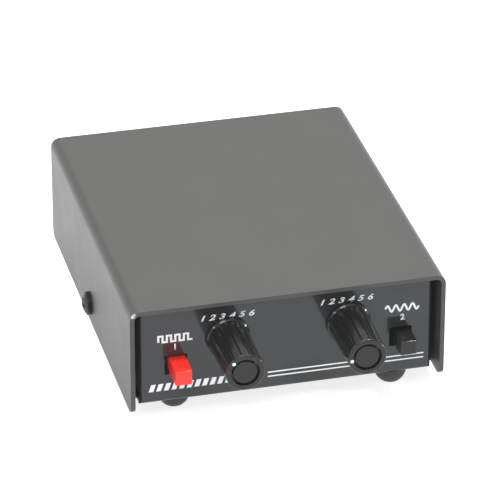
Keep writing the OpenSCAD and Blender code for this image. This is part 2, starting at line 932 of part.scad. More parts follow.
module phono_jack_shell() {
    color("#c8b06a")
        on_rear(phono_x)
            difference() {
                union() {
                    rod(0, phono_flange_t, phono_flange_r);
                    rod(phono_flange_t - eps, phono_reach, phono_shell_r);
                    rod(-phono_stem_len, eps, phono_stem_r);
                }
                rod(phono_floor, phono_reach + 1, phono_shell_r - phono_wall);
                rod(-phono_stem_len - 1, phono_floor + 1, phono_stem_r - phono_wall);
            }
}

module phono_jack_insulator() {
    tube_r = phono_socket_r + phono_contact_wall;
    color("#e8e6e0")
        on_rear(phono_x)
            difference() {
                union() {
                    rod(phono_floor, phono_floor + phono_disc_t, phono_shell_r - phono_wall);
                    rod(-phono_stem_len, phono_floor + eps, phono_stem_r - phono_wall);
                }
                rod(-phono_stem_len - 1, phono_reach, tube_r);
            }
}

module phono_jack_contact() {
    tube_r = phono_socket_r + phono_contact_wall;
    color("#c8b06a")
        on_rear(phono_x)
            union() {
                difference() {
                    rod(-phono_stem_len, phono_reach - phono_contact_recess, tube_r);
                    rod(-phono_stem_len + phono_contact_back, phono_reach + 1, phono_socket_r);
                }
                block(lug_w, lug_t, -phono_stem_len - lug_len, -phono_stem_len + eps);
            }
}

module phono_jack_nut() {
    color("#c4c7ca")
        on_rear(phono_x)
            translate([0, 0, -chassis_t - phono_nut_t])
                difference() {
                    cylinder(r = phono_flange_r, h = phono_nut_t, $fn = 6);
                    rod(-1, phono_nut_t + 1, phono_stem_r + nut_gap);
                }
}

module phone_jack_body() {
    color("#2f3032")
        on_rear(0)
            difference() {
                union() {
                    block(phone_body[0], phone_body[1], -chassis_t - phone_body[2], -chassis_t);
                    rod(-chassis_t - eps, nose_reach, phone_nose_r);
                }
                rod(nose_reach - phone_socket_depth, nose_reach + 1, phone_socket_r);
            }
}

module phone_jack_contacts() {
    color("#c8b06a")
        on_rear(0)
            for (side = [-1, 0, 1])
                translate([side * lug_pitch, 0, 0])
                    block(lug_w, lug_t, -chassis_t - phone_body[2] - lug_len,
                        -chassis_t - phone_body[2]);
}

module phone_jack_nut() {
    color("#c4c7ca")
        on_rear(0)
            difference() {
                rod(0, jack_nut_t, phone_nut_r);
                rod(-1, jack_nut_t + 1, phone_nose_r + nut_gap);
                for (k = [0:1])
                    rotate([0, 0, 90 * k])
                        block(2 * phone_nut_r + 1, phone_nut_slot_w,
                            jack_nut_t - phone_nut_slot_depth, jack_nut_t + 1);
            }
}

module power_jack_body() {
    color("#2f3032")
        on_rear(power_x)
            difference() {
                union() {
                    rod(-chassis_t - power_body_len, -chassis_t, power_body_r);
                    rod(-chassis_t - eps, nose_reach, power_nose_r);
                }
                rod(nose_reach - power_socket_depth, nose_reach + 1, power_socket_r);
                rod(-chassis_t - power_body_len - 1, nose_reach, power_stem_r);
            }
}

module power_jack_contacts() {
    color("#c4c7ca")
        on_rear(power_x) {
            rod(nose_reach - power_socket_depth, nose_reach - power_pin_recess, power_pin_r);
            rod(-chassis_t - power_body_len, nose_reach - power_socket_depth + eps, power_stem_r);
            for (k = [0, 1])
                translate([k * lug_pitch, 0, 0])
                    block(lug_w, lug_t, -chassis_t - power_body_len - lug_len,
                        -chassis_t - power_body_len);
        }
}

module power_jack_nut() {
    color("#c4c7ca")
        on_rear(power_x)
            difference() {
                cylinder(r = power_nut_r, h = jack_nut_t, $fn = 6);
                rod(-1, jack_nut_t + 1, power_nose_r + nut_gap);
            }
}

// ---- Battery ----

module battery() {
    color("#3f4650")
        translate([battery_x, battery_y, battery_z]) {
            translate([-battery_len / 2, -battery_w / 2, 0])
                cube([battery_len, battery_w, battery_h]);
            for (side = [-1, 1])
                translate([battery_len / 2 - eps, side * terminal_pitch / 2, battery_h / 2])
                    rotate([0, 90, 0])
                        rod(0, terminal_h + eps, terminal_r);
        }
}

module battery_bracket() {
    color("#b5b8bb")
        difference() {
            translate([battery_x - bracket_w / 2, battery_y, floor_z])
                along_x()
                    linear_extrude(bracket_w)
                        u_profile(battery_w + 2 * bracket_t, bracket_h, bracket_t, bracket_t + eps);
            for (side = [-1, 1])
                translate([battery_x, battery_y + side * bracket_screw_pitch / 2, 0])
                    rod(0, battery_z + 1, screw_r);
        }
}

module bracket_screws() {
    color("#b9bcc0")
        for (side = [-1, 1])
            translate([battery_x, battery_y + side * bracket_screw_pitch / 2, foot_h])
                mirror([0, 0, 1])
                    pan_screw(screw_head_r, screw_head_h, screw_r, bracket_screw_len);
}

module battery_snap() {
    color("#26282a")
        translate([battery_x + battery_len / 2, battery_y, battery_z + battery_h / 2])
            rotate([0, 90, 0])
                difference() {
                    block(battery_h - 2 * snap_inset[0], battery_w - 2 * snap_inset[1], snap_gap,
                        snap_t);
                    for (side = [-1, 1])
                        translate([0, side * terminal_pitch / 2, 0])
                            rod(-1, terminal_h + snap_gap, terminal_r + snap_gap);
                }
}

// ---- Parts on the circuit board ----

module on_board(at, lift = 0) {
    // at: [x, distance behind the board's front edge]
    translate([at[0], board_front + at[1], board_top + lift])
        children();
}

module chip_socket() {
    color("#232426")
        on_board(chip_at)
            difference() {
                block(chip_size[0], chip_socket_w, 0, chip_socket_h);
                block(chip_size[0] - 2 * chip_socket_rail, chip_socket_slot, chip_socket_floor,
                    chip_socket_h + 1);
            }
}

module timer_chip() {
    color("#1b1c1d")
        on_board(chip_at, chip_socket_h)
            difference() {
                block(chip_size[0], chip_size[1], 0, chip_size[2]);
                translate([-chip_size[0] / 2, 0, 0])
                    rod(chip_size[2] - chip_dot_depth, chip_size[2] + 1, chip_dot_r);
            }
}

module electrolytic_capacitors() {
    color("#2b3c66")
        for (can = cans)
            on_board(can)
                rotate_extrude()
                    polygon([
                        [0, 0],
                        [can[2], 0],
                        [can[2], can[3] * crimp_z[0]],
                        [can[2] * crimp_r, can[3] * crimp_z[1]],
                        [can[2], can[3] * crimp_z[2]],
                        [can[2], can[3]],
                        [0, can[3]]
                    ]);
}

module ceramic_capacitors() {
    color("#c98f3c")
        for (at = disc_at)
            on_board(at) {
                translate([0, 0, disc_r + disc_lift])
                    rotate([90, 0, 0])
                        rod(-disc_t / 2, disc_t / 2, disc_r);
                for (side = [-1, 1])
                    translate([side * disc_leg_pitch / 2, 0, 0])
                        rod(0, disc_r + disc_lift / 2, thin_leg_r);
            }
}

module resistors() {
    color("#d8c79c")
        for (at = resistor_at)
            on_board(at, resistor_r) {
                rotate([0, 90, 0])
                    rod(-resistor_len / 2, resistor_len / 2, resistor_r);
                rotate([0, 90, 0])
                    rod(-resistor_leg_at - resistor_leg_r, resistor_leg_at + resistor_leg_r,
                        resistor_leg_r);
                for (side = [-1, 1])
                    translate([side * resistor_leg_at, 0, 0])
                        rod(-resistor_r, 0, resistor_leg_r);
            }
}

module output_transistor() {
    color("#1b1c1d")
        on_board(transistor_at) {
            difference() {
                rod(transistor_lift, transistor_lift + transistor_h, transistor_r);
                translate([-transistor_r, transistor_flat, 0])
                    cube([2 * transistor_r, transistor_r, transistor_lift + transistor_h + 1]);
            }
            for (k = [-1:1])
                translate([k * transistor_leg_pitch, 0, 0])
                    rod(0, transistor_lift + eps, thin_leg_r);
        }
}

// ---- Wires ----

function straight_start(from, way) = [for (k = [0:2]) from + k * wire_straight * way];

function straight_end(to, way) = [for (k = [2:-1:0]) to + k * wire_straight * way];

module lead(points) {
    color("#8d2f2a")
        wire(smoothed(points), wire_r, wire_across);
}

module jack_wire(jack_x, lug_y, pad_x, lift) {
    // From a jack's lug, over the battery and down to a pad on the board
    lug = [jack_x, lug_y, jack_z];
    pad = [pad_x, wire_pad_y, board_top];
    middle_x = (jack_x + pad_x) / 2;
    middle_z = battery_z + battery_h + lift;
    lead(concat(
        straight_start(lug, [0, -1, 0]),
        [
            [middle_x, battery_y + battery_w / 4, middle_z],
            [middle_x, battery_y - battery_w / 4, middle_z]
        ],
        straight_end(pad, [0, 0, 1])));
}

module phono_wires() {
    lug_y = rear_y - phono_stem_len - lug_len;
    for (side = [-1, 1])
        jack_wire(phono_x + side * phono_lug_spread, lug_y, phono_x + side * phono_pad_offset,
            phono_wire_lift + side);
}

module phone_jack_wires() {
    lug_y = rear_y - chassis_t - phone_body[2] - lug_len;
    for (side = [-1, 1])
        jack_wire(side * lug_pitch, lug_y, side * phone_pad_offset, jack_wire_lift);
}

module power_wires() {
    lug_y = rear_y - chassis_t - power_body_len - lug_len;
    for (k = [0, 1])
        jack_wire(power_x + k * lug_pitch, lug_y, power_x + power_pad_offset + k * lug_pitch,
            jack_wire_lift);
}

module battery_leads() {
    for (side = [-1, 1]) {
        start = [battery_x + battery_len / 2 + snap_t, battery_y + side * lead_spread,
            battery_z + battery_h / 2];
        pad = [start[0] + lead_pad_gap + side * lead_pad_spread, wire_pad_y, board_top];
        lead(concat(
            straight_start(start, [1, 0, 0]),
            [[pad[0], start[1], start[2]] + lead_arch],
            straight_end(pad, [0, 0, 1])));
    }
}

module rate_pot_bushing() { pot_bushing(rate_x); }
module rate_pot_case() { pot_case(rate_x); }
module rate_pot_element() { pot_element(rate_x); }
module rate_pot_washer() { pot_washer(rate_x); }
module rate_pot_nut() { pot_nut(rate_x); }
module rate_shaft() { shaft(rate_x, rate_turn); }
module rate_knob() { knob(rate_x, rate_turn); }
module rate_knob_cap() { knob_cap(rate_x, rate_turn); }
module duty_pot_bushing() { pot_bushing(duty_x); }
module duty_pot_case() { pot_case(duty_x); }
module duty_pot_element() { pot_element(duty_x); }
module duty_pot_washer() { pot_washer(duty_x); }
module duty_pot_nut() { pot_nut(duty_x); }
module duty_shaft() { shaft(duty_x, duty_turn); }
module duty_knob() { knob(duty_x, duty_turn); }
module duty_knob_cap() { knob_cap(duty_x, duty_turn); }
module pulse_switch_housing() { switch_housing(pulse_x); }
module pulse_switch_base() { switch_base(pulse_x); }
module pulse_spring() { spring(pulse_x); }
module pulse_plunger() { plunger(pulse_x, pulse_back); }
module pulse_button() { button(pulse_x, pulse_reach, "#fb5041"); }
module carrier_switch_housing() { switch_housing(carrier_x); }
module carrier_switch_base() { switch_base(carrier_x); }
module carrier_spring() { spring(carrier_x); }
module carrier_plunger() { plunger(carrier_x, carrier_back); }
module carrier_button() { button(carrier_x, carrier_reach, "#38393b"); }

top_cover();
cover_screws();
chassis();
foot_front_left();
foot_front_right();
foot_rear_left();
foot_rear_right();
circuit_board();
board_standoffs();
board_screws();
rate_pot_bushing();
rate_pot_case();
rate_pot_element();
rate_pot_washer();
rate_pot_nut();
rate_shaft();
rate_knob();
rate_knob_cap();
duty_pot_bushing();
duty_pot_case();
duty_pot_element();
duty_pot_washer();
duty_pot_nut();
duty_shaft();
duty_knob();
duty_knob_cap();
pulse_switch_housing();
pulse_switch_base();
pulse_spring();
pulse_plunger();
pulse_button();
carrier_switch_housing();
carrier_switch_base();
carrier_spring();
carrier_plunger();
carrier_button();
phono_jack_shell();
phono_jack_insulator();
phono_jack_contact();
phono_jack_nut();
phone_jack_body();
phone_jack_contacts();
phone_jack_nut();
power_jack_body();
power_jack_contacts();
power_jack_nut();
battery();
battery_bracket();
bracket_screws();
battery_snap();
battery_leads();
timer_chip();
chip_socket();
electrolytic_capacitors();
ceramic_capacitors();
resistors();
output_transistor();
phono_wires();
phone_jack_wires();
power_wires();
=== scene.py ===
"""The looks of a small tuning pulser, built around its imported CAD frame.

Lengths are in metres in the CAD's own frame: +X right, +Y to the rear, +Z up.
"""
import json
import math

import bmesh
import bpy
from mathutils import Matrix, Vector


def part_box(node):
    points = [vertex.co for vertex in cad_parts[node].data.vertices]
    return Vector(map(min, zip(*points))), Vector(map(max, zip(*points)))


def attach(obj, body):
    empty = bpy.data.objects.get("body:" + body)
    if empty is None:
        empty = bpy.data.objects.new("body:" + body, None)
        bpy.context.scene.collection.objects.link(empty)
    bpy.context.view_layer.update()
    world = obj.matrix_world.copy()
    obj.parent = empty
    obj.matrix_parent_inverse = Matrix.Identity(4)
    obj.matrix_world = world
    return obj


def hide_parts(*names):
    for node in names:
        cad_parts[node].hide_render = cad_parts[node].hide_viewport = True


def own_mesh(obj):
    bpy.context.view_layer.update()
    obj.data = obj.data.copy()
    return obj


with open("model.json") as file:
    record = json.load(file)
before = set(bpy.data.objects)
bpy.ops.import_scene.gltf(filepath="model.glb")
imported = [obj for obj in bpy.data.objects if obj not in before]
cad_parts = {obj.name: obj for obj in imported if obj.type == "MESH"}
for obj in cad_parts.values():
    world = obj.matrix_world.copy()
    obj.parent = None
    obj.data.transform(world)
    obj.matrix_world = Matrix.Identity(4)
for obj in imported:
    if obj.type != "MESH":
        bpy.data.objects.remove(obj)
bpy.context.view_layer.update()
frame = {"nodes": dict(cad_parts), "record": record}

MM = 0.001

# ---- Where things are, from the frame ----

cover_lo, cover_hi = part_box("top_cover")
chassis_lo, chassis_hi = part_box("chassis")
panel_y = chassis_lo.y
rear_y = chassis_hi.y
case_centre = (cover_lo + cover_hi) / 2


def axis_of(node):
    """The place in X and Z of a knob's or a button's own axis"""
    lo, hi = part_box(node)
    return (lo.x + hi.x) / 2, (lo.z + hi.z) / 2


# ---- Shader building blocks ----

# Stands for the photo's stray light, which keeps even its blacks from being fully black
stray_light = 0.009
stray_colour = (0.96, 1.0, 1.03, 1)


def new_material(name):
    """An empty material with a shader, and the place on the object that its textures follow"""
    made = bpy.data.materials.new(name)
    made.use_nodes = True
    tree = made.node_tree
    tree.nodes.clear()
    out = tree.nodes.new("ShaderNodeOutputMaterial")
    shader = tree.nodes.new("ShaderNodeBsdfPrincipled")
    shader.inputs["Emission Color"].default_value = stray_colour
    shader.inputs["Emission Strength"].default_value = stray_light
    tree.links.new(shader.outputs[0], out.inputs[0])
    place = tree.nodes.new("ShaderNodeTexCoord").outputs["Object"]
    return made, tree, shader, place


def put(tree, socket, value):
    """Links a socket's value, or sets it where the value is a plain one"""
    if isinstance(value, bpy.types.NodeSocket):
        tree.links.new(value, socket)
    else:
        socket.default_value = value


def noise(tree, place, size, detail=3.0, rough=0.55, stretch=None):
    """Noise whose lumps are about size metres across"""
    if stretch:
        squeeze = tree.nodes.new("ShaderNodeMapping")
        squeeze.inputs["Scale"].default_value = stretch
        tree.links.new(place, squeeze.inputs["Vector"])
        place = squeeze.outputs[0]
    made = tree.nodes.new("ShaderNodeTexNoise")
    made.inputs["Scale"].default_value = 1 / size
    made.inputs["Detail"].default_value = detail
    made.inputs["Roughness"].default_value = rough
    tree.links.new(place, made.inputs["Vector"])
    return made.outputs["Fac"]


def ramp(tree, value, low, high, out_low=0.0, out_high=1.0):
    """Maps value from low..high to out_low..out_high, and no further"""
    made = tree.nodes.new("ShaderNodeMapRange")
    made.clamp = True
    made.interpolation_type = "SMOOTHSTEP"
    for socket, number in zip(made.inputs[1:5], (low, high, out_low, out_high)):
        socket.default_value = number
    tree.links.new(value, made.inputs[0])
    return made.outputs[0]


def calc(tree, kind, first, second):
    """One step of arithmetic on two sockets or numbers"""
    made = tree.nodes.new("ShaderNodeMath")
    made.operation = kind
    put(tree, made.inputs[0], first)
    put(tree, made.inputs[1], second)
    return made.outputs[0]


def blend_colour(tree, amount, low, high):
    """A mix of two colours, from low at an amount of 0 to high at 1"""
    made = tree.nodes.new("ShaderNodeMix")
    made.data_type = "RGBA"
    # On a colour mix socket 0 is the amount, and 6 and 7 are the two colours
    put(tree, made.inputs[0], amount)
    put(tree, made.inputs[6], low)
    put(tree, made.inputs[7], high)
    return made.outputs[2]


def bumps(tree, shader, *layers):
    """Stacks bump layers, each a height socket, a depth in metres and a strength"""
    normal = None
    for height, depth, strength in layers:
        made = tree.nodes.new("ShaderNodeBump")
        made.inputs["Strength"].default_value = strength
        made.inputs["Distance"].default_value = depth
        tree.links.new(height, made.inputs["Height"])
        if normal:
            tree.links.new(normal, made.inputs["Normal"])
        normal = made.outputs[0]
    tree.links.new(normal, shader.inputs["Normal"])


flat_cosine = 0.985
edge_cosine = 0.86


def edge_mask(tree, radius):
    """1 on sharp outer and inner edges, 0 on flat and gently curved faces

    It compares a normal rounded over radius with the face's own, by their cosine.
    """
    soft = tree.nodes.new("ShaderNodeBevel")
    soft.samples = 6
    soft.inputs["Radius"].default_value = radius
    plain = tree.nodes.new("ShaderNodeNewGeometry")
    turn = tree.nodes.new("ShaderNodeVectorMath")
    turn.operation = "DOT_PRODUCT"
    tree.links.new(soft.outputs[0], turn.inputs[0])
    tree.links.new(plain.outputs["Normal"], turn.inputs[1])
    return ramp(tree, turn.outputs["Value"], flat_cosine, edge_cosine)


def rgba(colour, gain=1.0):
    """A colour times gain, with the opaque alpha that a socket needs"""
    return (*[c * gain for c in colour], 1.0)


# ---- Materials ----

bare_metal = (0.42, 0.41, 0.39, 1)
# Colour of the scraped spots: pale bare metal, lightened further as a painted highlight
scrape_and_glint_colour = (0.85, 0.85, 0.83, 1)
scrape_and_glint_streak = 1.8 * MM


def paint(name, colour, rough, peel, speck, wear=0.5, scrape_and_glint_at=None, scrape_and_glint_reach=2.5 * MM, shine=0.5):
    """Paint on sheet metal: orange peel, a little dust and edges rubbed through to metal

    The seventh and eighth arguments place a scraped spot that also carries a painted highlight: its middle,
    and how far out it ends.
    """
    made, tree, shader, place = new_material(name)
    cloud = noise(tree, place, 22 * MM, 4)
    grain = noise(tree, place, 0.5 * MM, 2)
    skin = noise(tree, place, 1.6 * MM, 2)
    base = blend_colour(tree, cloud, rgba(colour, 0.9), rgba(colour, 1.12))
    dust = ramp(tree, noise(tree, place, 0.35 * MM, 1, 0.5), 0.74, 0.8)
    base = blend_colour(tree, calc(tree, "MULTIPLY", dust, speck), base, rgba(colour, 2.5))
    rubbed = ramp(tree, noise(tree, place, 2.4 * MM, 4, 0.7), 0.60, 0.72)
    mask = calc(tree, "MULTIPLY", edge_mask(tree, 0.35 * MM), rubbed)
    mask = calc(tree, "MULTIPLY", mask, wear)
    base = blend_colour(tree, mask, base, bare_metal)
    # A ragged scraped spot, partly real scraped paint and partly a painted highlight, painted into the base
    # colour
    if scrape_and_glint_at:
        spot = tree.nodes.new("ShaderNodeVectorMath")
        spot.operation = "DISTANCE"
        tree.links.new(place, spot.inputs[0])
        spot.inputs[1].default_value = scrape_and_glint_at
        streaks = noise(tree, place, 0.5 * MM, 3, 0.6, (0.35, 1, 1.6))
        ragged = calc(tree, "ADD", spot.outputs["Value"], calc(tree, "MULTIPLY", streaks, scrape_and_glint_streak))
        scrape_and_glint_mask = ramp(tree, ragged, scrape_and_glint_reach, scrape_and_glint_reach * 0.6)
        base = blend_colour(tree, scrape_and_glint_mask, base, scrape_and_glint_colour)
    put(tree, shader.inputs["Base Color"], base)
    put(tree, shader.inputs["Metallic"], calc(tree, "MULTIPLY", mask, 0.8))
    shader.inputs["Specular IOR Level"].default_value = shine
    put(tree, shader.inputs["Roughness"], ramp(tree, cloud, 0.3, 0.7, rough * 0.95, rough * 1.05))
    bumps(tree, shader, (skin, 0.02 * MM, peel), (grain, 0.004 * MM, peel))
    return made


def moulded(name, colour, rough, texture=0.25, grime=0.15, scatter=0.0, shine=0.5, gloss_coat=0.0):
    """Moulded plastic: fine texture, faint flow marks, dirt and scuffs"""
    made, tree, shader, place = new_material(name)
    cloud = noise(tree, place, 6 * MM, 3)
    grain = noise(tree, place, 0.18 * MM, 2)
    scuffs = ramp(tree, noise(tree, place, 0.9 * MM, 5, 0.75, (1, 0.25, 1)), 0.62, 0.75)
    base = blend_colour(tree, cloud, rgba(colour, 0.93), rgba(colour, 1.06))
    pale = rgba([c * 0.7 + 0.06 for c in colour])
    base = blend_colour(tree, calc(tree, "MULTIPLY", scuffs, grime), base, pale)
    put(tree, shader.inputs["Base Color"], base)
    dull = calc(tree, "MULTIPLY", scuffs, 0.25)
    uneven = ramp(tree, cloud, 0.3, 0.7, rough * 0.85, rough * 1.15)
    put(tree, shader.inputs["Roughness"], calc(tree, "ADD", uneven, dull))
    shader.inputs["Specular IOR Level"].default_value = shine
    shader.inputs["Coat Weight"].default_value = gloss_coat
    shader.inputs["Coat Roughness"].default_value = 0.04
    if scatter:
        shader.inputs["Subsurface Weight"].default_value = scatter
        shader.inputs["Subsurface Radius"].default_value = (1.0, 0.3, 0.2)
        shader.inputs["Subsurface Scale"].default_value = 0.6 * MM
    bumps(tree, shader, (grain, 0.006 * MM, texture), (scuffs, 0.004 * MM, texture))
    return made


def metal(name, colour, rough, stretch=(1, 1, 1), tarnish=0.25):
    """Bare or plated metal: machining grain, tarnish and fine scratches"""
    made, tree, shader, place = new_material(name)
    grain = noise(tree, place, 0.25 * MM, 3, 0.6, stretch)
    cloud = noise(tree, place, 3 * MM, 4)
    stain = ramp(tree, cloud, 0.5, 0.75, 0, tarnish)
    put(tree, shader.inputs["Base Color"], blend_colour(tree, stain, rgba(colour), rgba(colour, 0.45)))
    shader.inputs["Metallic"].default_value = 1.0
    put(tree, shader.inputs["Roughness"], ramp(tree, grain, 0.25, 0.75, rough * 0.75, rough * 1.3))
    bumps(tree, shader, (grain, 0.004 * MM, 0.35))
    return made


def rubber(name, colour):
    """Soft rubber with dust held in its pores"""
    made, tree, shader, place = new_material(name)
    pores = noise(tree, place, 0.3 * MM, 3)
    dust = ramp(tree, noise(tree, place, 2.5 * MM, 5, 0.7), 0.45, 0.8, 0, 0.35)
    dusty = rgba([c + 0.05 for c in colour])
    put(tree, shader.inputs["Base Color"], blend_colour(tree, dust, rgba(colour), dusty))
    put(tree, shader.inputs["Roughness"], ramp(tree, pores, 0.3, 0.7, 0.5, 0.68))
    bumps(tree, shader, (pores, 0.02 * MM, 0.4))
    return made


def ink(name, colour):
    """Screen-printed ink: slightly uneven cover and soft gloss"""
    made, tree, shader, place = new_material(name)
    mottle = noise(tree, place, 0.25 * MM, 3)
    cover = ramp(tree, mottle, 0.35, 0.6)
    put(tree, shader.inputs["Base Color"], blend_colour(tree, cover, rgba(colour, 0.8), rgba(colour)))
    put(tree, shader.inputs["Roughness"], ramp(tree, mottle, 0.3, 0.7, 0.42, 0.6))
    bumps(tree, shader, (mottle, 0.006 * MM, 0.4))
    return made


weave_pitch = 2.4 * MM
solder_dot_pitch = 5 * MM
tinned_copper = (0.5, 0.5, 0.48, 1)


def laminate(name, colour):
    """Solder-masked board: faint weave, gloss and small tinned dots"""
    made, tree, shader, place = new_material(name)
    weave = tree.nodes.new("ShaderNodeTexWave")
    weave.inputs["Scale"].default_value = 1 / weave_pitch
    weave.inputs["Distortion"].default_value = 1.5
    tree.links.new(place, weave.inputs["Vector"])
    dots = tree.nodes.new("ShaderNodeTexVoronoi")
    dots.inputs["Scale"].default_value = 1 / solder_dot_pitch
    tree.links.new(place, dots.inputs["Vector"])
    spot = ramp(tree, dots.outputs["Distance"], 0.16, 0.13)
    mask = blend_colour(tree, weave.outputs["Fac"], rgba(colour, 0.85), rgba(colour, 1.15))
    put(tree, shader.inputs["Base Color"], blend_colour(tree, spot, mask, tinned_copper))
    put(tree, shader.inputs["Metallic"], spot)
    put(tree, shader.inputs["Roughness"], ramp(tree, spot, 0, 1, 0.35, 0.25))
    bumps(tree, shader, (weave.outputs["Fac"], 0.01 * MM, 0.2), (spot, 0.05 * MM, 0.5))
    return made


# Where the photo shows scraped paint, drawn here as scraped paint with a painted highlight: the cover's upper
# left front corner, the panel's lower left one
scrape_and_glint_corner = (cover_lo.x + 1.0 * MM, cover_lo.y - 0.9 * MM, cover_hi.z - 1.0 * MM)
scrape_and_glint_foot = (chassis_lo.x + 0.6 * MM, panel_y, chassis_lo.z + 0.3 * MM)

finish_of = {
    "cover_paint": paint("cover_paint", (0.046, 0.046, 0.044), 0.42, 0.5, 0.25, scrape_and_glint_at=scrape_and_glint_corner, shine=0.46),
    "chassis_paint": paint("chassis_paint", (0.021, 0.024, 0.027), 0.10, 0.08, 0.15, wear=0.3,
                           scrape_and_glint_at=scrape_and_glint_foot, scrape_and_glint_reach=2.3 * MM),
    "black_screw": paint("black_screw", (0.008, 0.008, 0.008), 0.38, 0.4, 0.2, wear=0.35, shine=0.3),
    "foot_rubber": rubber("foot_rubber", (0.022, 0.022, 0.023)),
    "board_laminate": laminate("board_laminate", (0.02, 0.11, 0.04)),
    "brass": metal("brass", (0.78, 0.60, 0.30), 0.24),
    "zinc_plate": metal("zinc_plate", (0.62, 0.63, 0.65), 0.3),
    "die_cast": metal("die_cast", (0.5, 0.51, 0.53), 0.5),
    "nickel_plate": metal("nickel_plate", (0.66, 0.65, 0.62), 0.22),
    "wafer_laminate": moulded("wafer_laminate", (0.25, 0.13, 0.05), 0.5),
    "shaft_metal": metal("shaft_metal", (0.62, 0.62, 0.63), 0.32, (1, 0.1, 1)),
    "knob_plastic": moulded("knob_plastic", (0.006, 0.0065, 0.0055), 0.32, 0.12, 0.03,
                            shine=0.2, gloss_coat=0.5),
    "cap_plastic": moulded("cap_plastic", (0.011, 0.011, 0.0115), 0.3, 0.2, 0.06, shine=0.36),
    "black_plastic": moulded("black_plastic", (0.02, 0.02, 0.021), 0.45),
    "tan_plastic": moulded("tan_plastic", (0.5, 0.38, 0.2), 0.5),
    "spring_steel": metal("spring_steel", (0.5, 0.5, 0.5), 0.3),
    "white_plastic": moulded("white_plastic", (0.75, 0.73, 0.68), 0.4, scatter=0.2),
    "red_plastic": moulded("red_plastic", (0.80, 0.020, 0.010), 0.26, 0.1, 0.03, scatter=0.15),
    "button_black": moulded("button_black", (0.012, 0.012, 0.0125), 0.2, 0.05, 0.02, shine=0.36),
    "battery_jacket": paint("battery_jacket", (0.07, 0.08, 0.1), 0.3, 0.2, 0.1),
    "wire_insulation": moulded("wire_insulation", (0.3, 0.02, 0.015), 0.4),
    "capacitor_sleeve": moulded("capacitor_sleeve", (0.02, 0.04, 0.16), 0.3),
    "ceramic_coat": moulded("ceramic_coat", (0.55, 0.26, 0.05), 0.35),
    "resistor_coat": moulded("resistor_coat", (0.6, 0.46, 0.24), 0.35),
}

white_ink = ink("white_ink", (0.82, 0.83, 0.86))
slot_of = {row["node"]: row["material_slot"] for row in frame["record"]["subparts"]}


def finish_cad(node):
    """Gives a CAD node its procedural material"""
    data = frame["nodes"][node].data
    data.materials.clear()
    data.materials.append(finish_of[slot_of[node]])


def soften(node, width, segments=2):
    """Rounds a CAD node's edges a little, as a real pressed or moulded edge is"""
    piece = frame["nodes"][node]
    weld = piece.modifiers.new("weld", "WELD")
    weld.merge_threshold = 0.001 * MM
    flat = piece.modifiers.new("flat", "DECIMATE")
    flat.decimate_type = "DISSOLVE"
    flat.angle_limit = math.radians(0.6)
    bevel = piece.modifiers.new("edge", "BEVEL")
    bevel.width = width
    bevel.segments = segments
    bevel.limit_method = "ANGLE"
    bevel.angle_limit = math.radians(32)
    bevel.miter_outer = "MITER_ARC"
    bevel.harden_normals = False
    smooth = piece.modifiers.new("normals", "WEIGHTED_NORMAL")
    smooth.keep_sharp = True


# ---- Mesh building blocks ----

same_place = 1e-7


def piece_from(name, points, faces, material, smooth_angle=35):
    """A mesh object whose edges are sharp where they turn by more than smooth_angle degrees"""
    data = bpy.data.meshes.new(name)
    data.from_pydata([tuple(p) for p in points], [], faces)
    work = bmesh.new()
    work.from_mesh(data)
    bmesh.ops.remove_doubles(work, verts=work.verts, dist=same_place)
    bmesh.ops.recalc_face_normals(work, faces=work.faces)
    limit = math.radians(smooth_angle)
    for face in work.faces:
        face.smooth = True
    for edge in work.edges:
        if len(edge.link_faces) == 2 and edge.calc_face_angle() > limit:
            edge.smooth = False
    work.to_mesh(data)
    work.free()
    piece = bpy.data.objects.new(name, data)
    bpy.context.scene.collection.objects.link(piece)
    data.materials.append(material)
    return piece


def rounded(profile, radius_at, steps=4):
    """A [radius, distance] outline with some corners rounded: radius_at gives each corner's radius"""
    out = []
    last = len(profile) - 1
    for i, corner in enumerate(profile):
        radius = radius_at.get(i, 0)
        if radius == 0 or i in (0, last):
            out.append(corner)
            continue
        here = Vector(corner)
        back = (Vector(profile[i - 1]) - here).normalized()
        ahead = (Vector(profile[i + 1]) - here).normalized()
        half = back.angle(ahead) / 2
        reach = radius / math.tan(half)
        centre = here + (back + ahead).normalized() * radius / math.sin(half)
        start, end = here + back * reach, here + ahead * reach
        a, b = start - centre, end - centre
        sweep = a.angle(b)
        for k in range(steps + 1):
            t = k / steps
            mixed = (a * math.sin((1 - t) * sweep) + b * math.sin(t * sweep)) / math.sin(sweep)
            out.append(tuple(centre + mixed))
    return out


def revolve(name, profile, centre, material, angles, radius_shift=None):
    """Turns a [radius, distance out of the panel] outline, from axis to axis, around a knob's axis"""
    cx, cz = centre
    points, rings = [], []
    for radius, out in profile:
        if radius < same_place:
            rings.append([len(points)])
            points.append((cx, panel_y - out, cz))
            continue
        ring = []
        for angle in angles:
            r = radius + (radius_shift(angle, radius, out) if radius_shift else 0)
            ring.append(len(points))
            points.append((cx + r * math.sin(angle), panel_y - out, cz + r * math.cos(angle)))
        rings.append(ring)
    faces = []
    count = len(angles)
    for low, high in zip(rings, rings[1:]):
        for k in range(count):
            j = (k + 1) % count
            if len(low) == 1:
                faces.append((low[0], high[j], high[k]))
            elif len(high) == 1:
                faces.append((low[k], low[j], high[0]))
            else:
                faces.append((low[k], low[j], high[j], high[k]))
    return piece_from(name, points, faces, material)


def even_angles(count):
    """Angles that divide a full turn evenly"""
    return [2 * math.pi * k / count for k in range(count)]


# ---- Knobs ----

